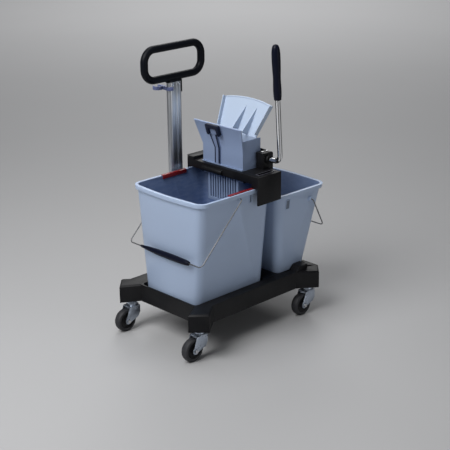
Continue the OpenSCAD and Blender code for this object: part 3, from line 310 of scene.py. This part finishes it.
def finishes():
    """Every finish of the trolley by name, made once."""
    c = bpy.context.scene.trolley_colours
    makers = {
        "bucket": lambda n: moulded(n, c.bucket, BUCKET_ROUGHNESS, 0.03),
        # Both buckets carry painted shade on their inward faces; the small bucket's is lighter
        "large_bucket": lambda n: bucket_plastic(n, c.bucket, middle("large_bucket").x),
        "small_bucket": lambda n: bucket_plastic(n, c.bucket, middle("small_bucket").x, damp=0.82),
        "press": lambda n: moulded(n, c.press, 0.36, 0.03),
        "funnel": lambda n: moulded(n, c.funnel, 0.36, 0.03),
        "basket": lambda n: moulded(n, c.basket, 0.44, 0.10),
        "chassis": lambda n: moulded(n, c.chassis, 0.46, 0.12, 520, 0.00025, dust=0.05, gloss=0.2),
        "handle": lambda n: moulded(n, c.handle, 0.42, 0.10, 650, 0.00010, dust=0.008, gloss=0.12),
        "grip": lambda n: moulded(n, c.grip, 0.36, 0.10, 800, 0.00010, dust=0.010, gloss=0.14),
        "funnel_clip": lambda n: moulded(n, c.clip, 0.40, 0.06, gloss=0.2),
        "clip_strap": lambda n: moulded(n, c.strap, 0.38, 0.05),
        # Painted shade: the bucket colour darkened for the sunk faces of the pockets
        "recess": lambda n: moulded(n, tinted(c.bucket, 0.36), 0.45, 0.05),
        "pole_clip": lambda n: moulded(n, c.pole_clip, 0.38, 0.05),
        "insert": lambda n: moulded(n, c.insert, 0.28, 0.05, grain_depth=0.00004),
        # Painted highlight: the chassis plastic made much lighter for the bright edges of the bridge's slot
        "frame": lambda n: moulded(n, tinted(c.chassis, 11), 0.36, 0.08, 700, 0.00010, gloss=0.5),
        # Painted shade: near-black, for the dark inside of the bridge's slot
        "void": lambda n: moulded(n, tinted(c.chassis, 0.1), 0.8, 0.08, 700, 0.00010, gloss=0.0),
        "hub": lambda n: moulded(n, tinted(c.chassis, 1.4), 0.5, 0.08, 700, 0.00015, dust=0.15, gloss=0.2),
        "bush": lambda n: moulded(n, BUSH_COLOUR, 0.45, 0.04),
        "tyre": lambda n: rubbery(n, c.tyre, 0.62, 0.25),
        "zinc": lambda n: plated(n, c.zinc, 0.30),
        "aluminium": lambda n: drawn_metal(n, c.aluminium, 0.34, 2),
        "wire": lambda n: drawn_metal(n, tinted(c.steel, 0.36), 0.44, 1, 2500),
        "steel": lambda n: plated(n, c.steel, 0.26, 300),
        "chrome": lambda n: polished(n, c.chrome, 0.08, at(*LEVER_FOOT), LEVER_LEAN),
    }
    for name, make in makers.items():
        if "trolley_" + name not in bpy.data.materials:
            make("trolley_" + name)
    return {name: bpy.data.materials["trolley_" + name] for name in makers}


def give(piece, finish):
    """Puts one finish on a piece."""
    piece.data.materials.clear()
    piece.data.materials.append(finishes()[finish])


def soften(node, edge):
    """Rounds the edges of a solid with live modifiers and shades it smooth between sharp edges."""
    piece = NODES[node]
    weld = piece.modifiers.new("Join", "WELD")
    weld.merge_threshold = JOIN_DISTANCE
    flat = piece.modifiers.new("Flat faces", "DECIMATE")
    flat.decimate_type = "DISSOLVE"
    flat.angle_limit = FLAT_ANGLE
    if edge:
        rounding = piece.modifiers.new("Edges", "BEVEL")
        rounding.width = edge
        rounding.segments = bpy.context.scene.trolley_sizes.edge_segments
        rounding.limit_method = "ANGLE"
        rounding.angle_limit = SHARP_ANGLE
        rounding.use_clamp_overlap = True
        rounding.harden_normals = False
    split = piece.modifiers.new("Sharp edges", "EDGE_SPLIT")
    split.split_angle = SHARP_ANGLE
    for face in piece.data.polygons:
        face.use_smooth = True


def dress(nodes, finish, edge=0.0):
    """Finishes solids and softens their edges."""
    for node in nodes:
        give(NODES[node], finish)
        soften(node, edge)


def at(x, y, z):
    """A place given in millimetres from the middle of the four casters, on the floor."""
    low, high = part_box("caster_pins")
    return Vector(((low.x + high.x) / 2, (low.y + high.y) / 2, 0)) + Vector((x, y, z)) * MM


def middle(node):
    """The middle of a CAD node's box."""
    low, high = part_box(node)
    return (low + high) / 2


def put_down():
    """Leaves edit mode with nothing selected."""
    if bpy.context.object and bpy.context.object.mode != "OBJECT":
        bpy.ops.object.mode_set(mode="OBJECT")
    bpy.ops.object.select_all(action="DESELECT")


def edit():
    """Settles a new primitive where it stands and starts editing it."""
    bpy.ops.object.transform_apply(location=True, rotation=True, scale=True)
    bpy.ops.object.mode_set(mode="EDIT")


def block(centre, size, turn=0.0):
    """Starts a piece from a cube, turned about the Y axis."""
    put_down()
    bpy.ops.mesh.primitive_cube_add(size=1, location=centre, rotation=(0, turn, 0), scale=Vector(size) * MM)
    edit()


def disc(centre, radius, depth, axis="Z", sides=48):
    """Starts a piece from a cylinder along the Y or Z axis."""
    turn = {"Y": (math.pi / 2, 0, 0), "Z": (0, 0, 0)}[axis]
    put_down()
    bpy.ops.mesh.primitive_cylinder_add(vertices=sides, radius=radius * MM, depth=depth * MM, location=centre,
                                        rotation=turn)
    edit()


def ringed(foot, aim, rings, sides=40):
    """Draws a round piece up from its foot; the rings are heights and radii in millimetres."""
    (height, radius), *others = rings
    disc(foot + aim * (height / 2 * MM), radius, height, "Z" if aim.z else "Y", sides)
    for ring_height, ring_radius in others:
        pick(facing(aim))
        pull(*(aim * (ring_height - height)))
        rate = ring_radius / radius
        bpy.ops.transform.resize(value=[1 if part else rate for part in aim], center_override=foot)
        height, radius = ring_height, ring_radius


def pick(test):
    """Selects the faces of the edited piece that pass a test."""
    bpy.ops.mesh.select_mode(type="FACE")
    bpy.ops.mesh.select_all(action="DESELECT")
    mesh = bmesh.from_edit_mesh(bpy.context.object.data)
    for face in mesh.faces:
        face.select_set(test(face))
    bmesh.update_edit_mesh(bpy.context.object.data)


def facing(direction):
    """A test for faces that look in a direction."""
    aim = Vector(direction).normalized()
    return lambda face: face.normal.dot(aim) > ALIGNED


def pull(x, y, z):
    """Extrudes the selected faces along a vector in millimetres."""
    bpy.ops.mesh.extrude_region_move(TRANSFORM_OT_translate={"value": Vector((x, y, z)) * MM})


def bore(axis, wall):
    """Opens a piece along an axis and leaves a wall of this width."""
    aim = Vector(axis)
    pick(lambda face: abs(face.normal.dot(aim)) > ALIGNED)
    bpy.ops.mesh.inset(thickness=wall * MM)
    bpy.ops.mesh.bridge_edge_loops()


def round_off(width, segments=2):
    """Bevels every sharp edge of the edited piece."""
    bpy.ops.mesh.select_mode(type="EDGE")
    bpy.ops.mesh.select_all(action="DESELECT")
    bpy.ops.mesh.edges_select_sharp(sharpness=CREASE_ANGLE)
    bpy.ops.mesh.bevel(offset=width * MM, segments=segments, affect="EDGES", clamp_overlap=True)


def done(name, finish):
    """Merges, turns the faces outward, shades and names the edited piece."""
    bpy.ops.mesh.select_all(action="SELECT")
    bpy.ops.mesh.remove_doubles(threshold=MERGE_DISTANCE)
    bpy.ops.mesh.normals_make_consistent(inside=False)
    bpy.ops.object.mode_set(mode="OBJECT")
    piece = bpy.context.object
    piece.name = piece.data.name = name
    give(piece, finish)
    bpy.ops.object.shade_smooth_by_angle(angle=CREASE_ANGLE)
    return piece


def copied(piece, name, step):
    """A copy of a piece with its own mesh, moved by a step in metres."""
    put_down()
    bpy.context.view_layer.objects.active = piece
    piece.select_set(True)
    bpy.ops.object.duplicate()
    bpy.ops.object.mode_set(mode="EDIT")
    bpy.ops.mesh.select_all(action="SELECT")
    bpy.ops.transform.translate(value=step)
    bpy.ops.object.mode_set(mode="OBJECT")
    copy = bpy.context.object
    copy.name = copy.data.name = name
    return copy


def fasten(piece, body):
    """Lets a piece move with a body."""
    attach(piece, body)


def at_corners(first, stem, node, bodies):
    """Copies a corner's piece to the other three corners and fastens all four."""
    start = middle(f"{node}_1")
    pieces = [first] + [copied(first, f"{stem}_{i}", middle(f"{node}_{i}") - start) for i in CORNERS[1:]]
    for piece, body in zip(pieces, bodies):
        fasten(piece, body)


def numbered(stem):
    """Names of a piece that repeats at the four corners."""
    return [f"{stem}_{i}" for i in CORNERS]


class TROLLEY_OT_base(bpy.types.Operator):
    """Finish the base and its king pins"""

    bl_idname = "trolley.base"
    bl_label = "Base"

    def execute(self, context):
        sizes = context.scene.trolley_sizes
        dress(["base_tray"], "chassis", sizes.moulded_edge * 1.5)
        dress(["caster_pins"], "zinc", sizes.metal_edge)
        return {"FINISHED"}


class TROLLEY_OT_casters(bpy.types.Operator):
    """Finish the forks, axles, hubs and tyres"""

    bl_idname = "trolley.casters"
    bl_label = "Casters"

    CAP_RADIUS, CAP_DEPTH, CAP_WALL = 21.4, 2.0, 11
    CAP_OUT = 8.6
    CAP_RIM, CAP_DISH = 2.2, 0.9
    RING_RADIUS, RING_DEPTH, RING_WALL = 21.0, 3.2, 3.4
    RING_LIFT = 1.4

    def execute(self, context):
        sizes = context.scene.trolley_sizes
        dress(numbered("caster_fork"), "zinc", sizes.metal_edge * 2)
        dress(numbered("caster_axle"), "steel", sizes.metal_edge)
        dress(numbered("wheel_hub"), "hub", sizes.metal_edge)
        dress(numbered("wheel_tyre"), "tyre", sizes.moulded_edge)
        at_corners(self.hub_cap(), "hub_cap", "wheel_hub", numbered("wheel"))
        at_corners(self.dust_ring(), "dust_ring", "caster_fork", numbered("caster"))
        return {"FINISHED"}

    def hub_cap(self):
        """A dished thread guard on each side of a hub."""
        centre = middle("wheel_hub_1")
        disc(centre - Vector((0, self.CAP_OUT, 0)) * MM, self.CAP_RADIUS, self.CAP_DEPTH, "Y")
        bore((0, 1, 0), self.CAP_WALL)
        pick(facing((0, -1, 0)))
        bpy.ops.mesh.inset(thickness=self.CAP_RIM * MM)
        bpy.ops.transform.translate(value=(0, self.CAP_DISH * MM, 0))
        round_off(0.5)
        bpy.ops.mesh.select_all(action="SELECT")
        bpy.ops.mesh.duplicate()
        bpy.ops.transform.rotate(value=math.pi, orient_axis="Z", center_override=centre)
        return done("hub_cap_1", "hub")

    def dust_ring(self):
        """A rolled rim on a fork's crown that keeps dust out of the ball race."""
        low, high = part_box("caster_fork_1")
        stem = Vector((high.x - (high.y - low.y) / 2, (low.y + high.y) / 2, high.z + self.RING_LIFT * MM))
        disc(stem, self.RING_RADIUS, self.RING_DEPTH)
        bore((0, 0, 1), self.RING_WALL)
        round_off(1.3, 3)
        return done("dust_ring_1", "zinc")


class TROLLEY_OT_handle(bpy.types.Operator):
    """Finish the post, neck, loop and pole clip"""

    bl_idname = "trolley.handle"
    bl_label = "Push handle"

    def execute(self, context):
        sizes = context.scene.trolley_sizes
        dress(["handle_post"], "aluminium", sizes.metal_edge)
        dress(["handle_neck"], "handle", sizes.moulded_edge)
        dress(["handle_loop"], "handle")
        dress(["pole_clip"], "pole_clip", sizes.moulded_edge * 0.7)
        dress(["neck_screws"], "steel", sizes.metal_edge)
        return {"FINISHED"}


class TROLLEY_OT_buckets(bpy.types.Operator):
    """Finish the buckets, bails and rim inserts"""

    bl_idname = "trolley.buckets"
    bl_label = "Buckets"

    # Lengths along the spindle from its near end and radii of its rings
    SPINDLE_RINGS = ((2, 6.6), (6, 8.2), (20, 9.2), (60, 9.9), (110, 10.0), (150, 9.2), (185, 7.4), (210, 5.4),
                     (224, 4.2), (228, 3.4))
    # Name, bucket, place, width, height and lean of the wall in degrees
    POCKETS = (
        ("large_pocket", "large_bucket", (-15, -155.8, 475), 8, 34, 5.1),
        ("small_pocket", "small_bucket", (160, -153.8, 407), 16, 30, 6.1),
    )
    POCKET_RIM, POCKET_DEPTH, POCKET_SINK = 2.5, 4, 1.3

    def execute(self, context):
        sizes = context.scene.trolley_sizes
        for bucket in ("large_bucket", "small_bucket"):
            dress([bucket], bucket, sizes.moulded_edge)
        dress(["large_bail", "small_bail"], "wire")
        dress(["large_bail_grip", "small_bail_grip"], "grip", sizes.moulded_edge)
        dress(["rim_inserts"], "insert", sizes.moulded_edge * 0.6)
        spindle = self.bail_spindle()
        fasten(spindle, "large_bail")
        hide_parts("large_bail_grip")
        for name, bucket, place, width, height, lean in self.POCKETS:
            fasten(self.pocket(name, at(*place), width, height, math.radians(lean)), bucket)
        return {"FINISHED"}

    def bail_spindle(self):
        """The large bail's grip, which tapers towards its far end."""
        low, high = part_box("large_bail_grip")
        ringed(Vector(((low.x + high.x) / 2, low.y, (low.z + high.z) / 2)), Vector((0, 1, 0)), self.SPINDLE_RINGS)
        round_off(0.7)
        return done("bail_spindle", "grip")

    def pocket(self, name, centre, width, height, lean):
        """A hook pocket on a bucket's near wall: a raised rim round a sunk face, leaning with the wall; the sunk face
        takes a darker colour as painted shade.
        """
        block(centre, (width + 2 * self.POCKET_RIM, self.POCKET_DEPTH, height + 2 * self.POCKET_RIM))
        pick(facing((0, -1, 0)))
        bpy.ops.mesh.inset(thickness=self.POCKET_RIM * MM)
        pull(0, self.POCKET_SINK, 0)
        round_off(0.5)
        bpy.ops.mesh.select_all(action="SELECT")
        bpy.ops.transform.rotate(value=-lean, orient_axis="X", center_override=centre)
        piece = done(name, "bucket")
        piece.data.materials.append(finishes()["recess"])
        sunk = min(piece.data.polygons, key=lambda face: (face.normal.y > -0.9, -face.area))
        sunk.material_index = 1
        return piece


class TROLLEY_OT_press(bpy.types.Operator):
    """Finish the press"""

    bl_idname = "trolley.press"
    bl_label = "Press"

    # The funnel's front flap: its lean, and the x and z of its foot
    FLAP_LEAN = math.radians(16.5)
    FLAP_FOOT = (15, 598)
    # The clip's head: place on the flap (y, up, out), size, inner sides of its legs, their length, corner rounding
    ARCH_PLACE = (14, 82, 9)
    ARCH_SIZE = (10.4, 59.6, 13)
    ARCH_SIDES = (-2.4, 30.4)
    ARCH_LEG, ARCH_CORNER = 24, 5.5
    # The clip's rails: name, y, width and drift of the upper length to the far side
    RAILS = (("clip_rail_near", 10.2, 4.4, 0), ("clip_rail_far", 28.4, 2.2, 10))
    RAIL_DEPTH, RAIL_LOWER, RAIL_UPPER = 3.6, 51, 54
    RAIL_OUT, RAIL_DROP = 6, 26
    # The slot in the bridge's near arm: its frame, painted lighter as a highlight, and a near-black tray of painted
    # shade in it
    FRAME_PLACE, FRAME_SIZE, FRAME_WALL = (50.5, -157.5, 540.8), (74, 18, 2.4), 2.8
    LINER_PLACE, LINER_SIZE, LINER_WALL, LINER_SINK = (50.5, -157.5, 540.4), (69, 13, 1.2), 0.8, 0.6
    # The jaw's flap: its foot, lean, length, half width, rise of its curved top and offset of its mid-plane
    JAW_FOOT, JAW_LEAN = (80, 0, 638), math.radians(29.5)
    JAW_LENGTH, JAW_HALF, JAW_CROWN, JAW_MID = 109, 108, 12, 1.75
    BEAD_RADIUS, BEAD_SINK, BEAD_SHORT = 3.1, 1.5, 1

    def execute(self, context):
        sizes = context.scene.trolley_sizes
        dress(["press_bridge", "lever_housing", "far_bearing"], "chassis", sizes.moulded_edge * 1.5)
        dress(["press_basket"], "basket", sizes.moulded_edge * 0.4)
        dress(["press_funnel"], "funnel", sizes.moulded_edge)
        dress(["press_jaw"], "press", sizes.moulded_edge)
        dress(["funnel_clip"], "clip_strap", sizes.moulded_edge)
        dress(["jaw_guide_pins", "housing_screws", "lever_shaft", "return_spring"], "steel", sizes.metal_edge)
        dress(["press_cams"], "zinc", sizes.metal_edge)
        dress(["shaft_bushes"], "bush", sizes.metal_edge)
        fasten(self.clip_arch(), "press")
        for piece in self.clip_rails():
            fasten(piece, "press")
        fasten(self.slot_frame(), "press")
        fasten(self.slot_liner(), "press")
        fasten(self.jaw_bead(), "jaw")
        return {"FINISHED"}

    def on_flap(self, y, up, out):
        """A place on the funnel's leaning front flap."""
        x, z = self.FLAP_FOOT
        sine, cosine = math.sin(self.FLAP_LEAN), math.cos(self.FLAP_LEAN)
        return at(x - up * sine - out * cosine, y, z + up * cosine - out * sine)

    def clip_arch(self):
        """The clip's head: a bar with two legs, rounded into an arch."""
        sine, cosine = math.sin(self.FLAP_LEAN), math.cos(self.FLAP_LEAN)
        block(self.on_flap(*self.ARCH_PLACE), self.ARCH_SIZE, -self.FLAP_LEAN)
        for y in self.ARCH_SIDES:
            bpy.ops.mesh.select_all(action="SELECT")
            bpy.ops.mesh.bisect(plane_co=at(0, y, 0), plane_no=(0, 1, 0))
        near, far = (at(0, y, 0).y for y in self.ARCH_SIDES)
        under = facing((sine, 0, -cosine))
        pick(lambda face: under(face) and not near < face.calc_center_median().y < far)
        pull(self.ARCH_LEG * sine, 0, -self.ARCH_LEG * cosine)
        self.round_corners(Vector((cosine, 0, sine)), self.ARCH_CORNER)
        round_off(1.0)
        return done("clip_arch", "funnel_clip")

    def round_corners(self, along, width):
        """Bevels the edges that run in one direction."""
        bpy.ops.mesh.select_mode(type="EDGE")
        bpy.ops.mesh.select_all(action="DESELECT")
        mesh = bmesh.from_edit_mesh(bpy.context.object.data)
        for edge in mesh.edges:
            line = (edge.verts[1].co - edge.verts[0].co).normalized()
            folded = edge.calc_face_angle(0.0) > SHARP_ANGLE
            edge.select_set(abs(line.dot(along)) > ALIGNED and folded)
        bmesh.update_edit_mesh(bpy.context.object.data)
        bpy.ops.mesh.bevel(offset=width * MM, segments=4, affect="EDGES", clamp_overlap=True)

    def clip_rails(self):
        """Two rails along the clip's strap, bent with the funnel's front."""
        x, z = self.FLAP_FOOT
        pieces = []
        for name, y, width, drift in self.RAILS:
            block(at(x - self.RAIL_OUT, y, z - self.RAIL_DROP), (self.RAIL_DEPTH, width, self.RAIL_LOWER))
            pick(facing((0, 0, 1)))
            pull(-self.RAIL_UPPER * math.sin(self.FLAP_LEAN), drift, self.RAIL_UPPER * math.cos(self.FLAP_LEAN))
            round_off(0.8)
            pieces.append(done(name, "funnel_clip"))
        return pieces

    def slot_frame(self):
        """A raised frame round the slot in the bridge's near arm, lighter than the chassis as a painted highlight."""
        block(at(*self.FRAME_PLACE), self.FRAME_SIZE)
        bore((0, 0, 1), self.FRAME_WALL)
        round_off(0.6)
        return done("slot_frame", "frame")

    def slot_liner(self):
        """A thin near-black tray in the slot of the bridge's near arm: painted shade where the slot is in shadow."""
        block(at(*self.LINER_PLACE), self.LINER_SIZE)
        pick(facing((0, 0, 1)))
        bpy.ops.mesh.inset(thickness=self.LINER_WALL * MM)
        pull(0, 0, -self.LINER_SINK)
        round_off(0.15)
        return done("slot_liner", "void")

    def jaw_bead(self):
        """A round bead along the curved top of the jaw's flap."""
        half, crown = self.JAW_HALF, self.JAW_CROWN
        radius = (half * half + crown * crown) / (2 * crown)
        spread = math.asin((half - self.BEAD_SHORT) / radius)
        up = Vector((math.sin(self.JAW_LEAN), 0, math.cos(self.JAW_LEAN)))
        out = Vector((math.cos(self.JAW_LEAN), 0, -math.sin(self.JAW_LEAN)))
        rise = self.JAW_LENGTH + crown - radius - self.BEAD_SINK
        hub = at(*self.JAW_FOOT) + (out * self.JAW_MID + up * rise) * MM
        start = hub + (up * math.cos(spread) + Vector((0, -math.sin(spread), 0))) * radius * MM
        along = (up * math.sin(spread) + Vector((0, math.cos(spread), 0))).to_track_quat("Z", "Y").to_euler()
        put_down()
        bpy.ops.mesh.primitive_circle_add(vertices=16, radius=self.BEAD_RADIUS * MM, fill_type="NGON",
                                          location=start, rotation=along)
        edit()
        bpy.ops.mesh.select_all(action="SELECT")
        bpy.ops.mesh.spin(steps=32, angle=2 * spread, center=hub, axis=out)
        round_off(1.2)
        return done("jaw_bead", "press")


class TROLLEY_OT_lever(bpy.types.Operator):
    """Finish the lever rod and its grip"""

    bl_idname = "trolley.lever"
    bl_label = "Lever"

    # How far along the lever the sleeve starts
    SLEEVE_START = 206
    # Heights above the sleeve's foot and radii of its rings
    SLEEVE_RINGS = ((4, 11.8), (12, 12.8), (28, 13.3), (48, 12.9), (66, 12.2), (80, 12.6), (100, 13.5), (120, 14.0),
                    (146, 13.9), (158, 13.0), (166, 11.4), (171, 9.3), (174, 6.6), (175.6, 3.6))
    BOSS_PLACE = (94, -132.2, 571)
    BOSS_RADIUS, BOSS_DEPTH, BOSS_WALL = 14.0, 8.4, 5.2

    def execute(self, context):
        dress(["lever_rod"], "chrome")
        dress(["lever_grip"], "grip")
        fasten(self.pivot_boss(), "press")
        sleeve = self.grip_sleeve()
        fasten(sleeve, "lever")
        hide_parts("lever_grip")
        return {"FINISHED"}

    def grip_sleeve(self):
        """A waisted rubber sleeve with a round end, drawn up along the lever."""
        foot = at(*LEVER_FOOT)
        ringed(foot + Vector((0, 0, self.SLEEVE_START)) * MM, Vector((0, 0, 1)), self.SLEEVE_RINGS)
        round_off(0.8)
        bpy.ops.mesh.select_all(action="SELECT")
        bpy.ops.transform.rotate(value=-LEVER_LEAN, orient_axis="Y", center_override=foot)
        return done("grip_sleeve", "grip")

    def pivot_boss(self):
        """A rounded boss on the housing, round the lever's stub."""
        disc(at(*self.BOSS_PLACE), self.BOSS_RADIUS, self.BOSS_DEPTH, "Y")
        bore((0, 1, 0), self.BOSS_WALL)
        round_off(2.0, 3)
        return done("pivot_boss", "chassis")


class TROLLEY_OT_stage(bpy.types.Operator):
    """Lay a pale floor, hang soft lamps and set the camera"""

    bl_idname = "trolley.stage"
    bl_label = "Stage"

    LENS = 93.88
    SENSOR = 36
    TURN = math.radians(-44.07)
    DOWN = math.radians(19.71)
    ROLL = -0.01046
    EYE = Vector((-2.5197, -2.6257, 1.6424))
    # Name, place, aim, size and power
    LAMPS = (
        ("key_lamp", (-2.15, -0.15, 2.7), (0, 0, 0.45), 2.2, 96.0),
        ("top_lamp", (0.2, 0.5, 3.1), (0, 0, 0.45), 1.3, 22.0),
        ("fill_lamp", (0.5, -3.2, 0.8), (0, 0, 0.45), 1.6, 9.0),
        ("backdrop_lamp", (4.8, 4.8, 4.0), (4.8, 4.8, 0), 4.0, 210.0),
    )
    WORLD_COLOUR = (0.92, 0.95, 1.0, 1)
    WORLD_STRENGTH = 0.13

    def execute(self, context):
        scene = context.scene
        self.lay_floor(context)
        for name, place, aim, size, power in self.LAMPS:
            self.hang_lamp(context, name, Vector(place), Vector(aim), size, power)
        world = bpy.data.worlds.new("studio")
        world.use_nodes = True
        background = world.node_tree.nodes["Background"]
        background.inputs["Color"].default_value = self.WORLD_COLOUR
        background.inputs["Strength"].default_value = self.WORLD_STRENGTH
        scene.world = world
        low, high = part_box("caster_pins")
        eye = self.EYE + Vector((*((low + high) / 2).xy, 0))
        bpy.ops.object.camera_add(location=eye)
        camera = context.object
        camera.name = "camera"
        camera.matrix_world = (Matrix.Translation(eye) @ Matrix.Rotation(self.TURN, 4, "Z")
                               @ Matrix.Rotation(math.pi / 2 - self.DOWN, 4, "X")
                               @ Matrix.Rotation(self.ROLL, 4, "Z"))
        camera.data.lens = self.LENS
        camera.data.sensor_width = self.SENSOR
        scene.camera = camera
        scene.view_settings.view_transform = "Standard"
        return {"FINISHED"}

    def lay_floor(self, context):
        """A floor that runs far back under the trolley."""
        half = context.scene.trolley_sizes.floor_half
        bpy.ops.mesh.primitive_plane_add(size=2 * half)
        floor = context.object
        floor.name = "floor"
        finish = Finish("trolley_floor")
        tone = context.scene.trolley_colours.floor
        clouds = finish.noise(1.2, 2.0)
        finish.shade(base_color=finish.blend(clouds, tinted(tone, 0.98), tinted(tone, 1.02)), roughness=0.6,
                     specular_ior_level=0.2)
        floor.data.materials.append(finish.material)

    def hang_lamp(self, context, name, place, aim, size, power):
        """A round lamp that looks at a point."""
        bpy.ops.object.light_add(type="AREA", location=place)
        lamp = context.object
        lamp.name = name
        lamp.data.shape = "DISK"
        lamp.data.size = size
        lamp.data.energy = power
        lamp.rotation_euler = (aim - place).to_track_quat("-Z", "Y").to_euler()


class TROLLEY_PT_panel(bpy.types.Panel):
    """Steps that dress the trolley, with their colours and sizes"""

    bl_idname = "TROLLEY_PT_panel"
    bl_label = "Mop bucket trolley"
    bl_space_type = "VIEW_3D"
    bl_region_type = "UI"
    bl_category = "Trolley"

    def draw(self, context):
        layout = self.layout
        for step in STEPS:
            layout.operator(step.bl_idname)
        for group in (context.scene.trolley_colours, context.scene.trolley_sizes):
            column = layout.column()
            for key in group.__annotations__:
                column.prop(group, key)


STEPS = (
    TROLLEY_OT_base,
    TROLLEY_OT_casters,
    TROLLEY_OT_handle,
    TROLLEY_OT_buckets,
    TROLLEY_OT_press,
    TROLLEY_OT_lever,
    TROLLEY_OT_stage,
)
CLASSES = (TrolleyColours, TrolleySizes, *STEPS, TROLLEY_PT_panel)


def register():
    """Adds the classes and the scene's groups of properties."""
    for cls in CLASSES:
        bpy.utils.register_class(cls)
    bpy.types.Scene.trolley_colours = PointerProperty(type=TrolleyColours)
    bpy.types.Scene.trolley_sizes = PointerProperty(type=TrolleySizes)


def unregister():
    """Takes away what register added."""
    del bpy.types.Scene.trolley_sizes
    del bpy.types.Scene.trolley_colours
    for cls in reversed(CLASSES):
        bpy.utils.unregister_class(cls)


def main():
    """Runs every step in order."""
    register()
    bpy.ops.object.select_all(action="DESELECT")
    for step in STEPS:
        group, name = step.bl_idname.split(".")
        getattr(getattr(bpy.ops, group), name)()


if __name__ == "__main__":
    main()
